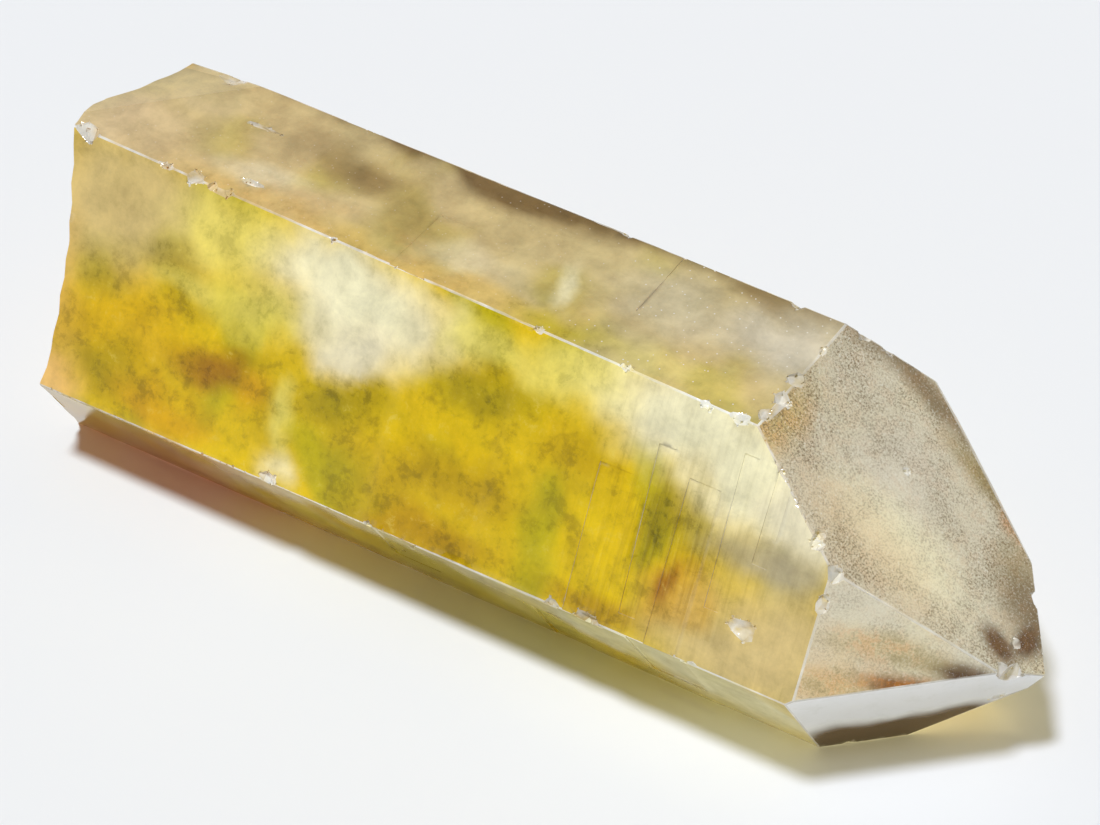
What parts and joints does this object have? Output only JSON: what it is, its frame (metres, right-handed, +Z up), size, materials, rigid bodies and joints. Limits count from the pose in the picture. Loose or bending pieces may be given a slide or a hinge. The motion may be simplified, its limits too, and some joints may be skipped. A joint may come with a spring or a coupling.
{
  "type": "citrine specimen",
  "caption": "Natural citrine quartz point lying on one long face: six-sided prism, six slanting faces at the tip, broken base, chipped edges.",
  "frame": {"origin": "middle of the crystal's box, on the flat long face that it rests on", "axes": "+X along the crystal from its broken base to its tip, +Z up"},
  "size_m": [0.0728, 0.0274, 0.0226],
  "materials": {
    "citrine": "see-through smoky yellow quartz with milky clouds, satin natural faces and bright chips"
  },
  "bodies": {
    "root": {"citrine_point": "citrine"}
  },
  "joints": []
}
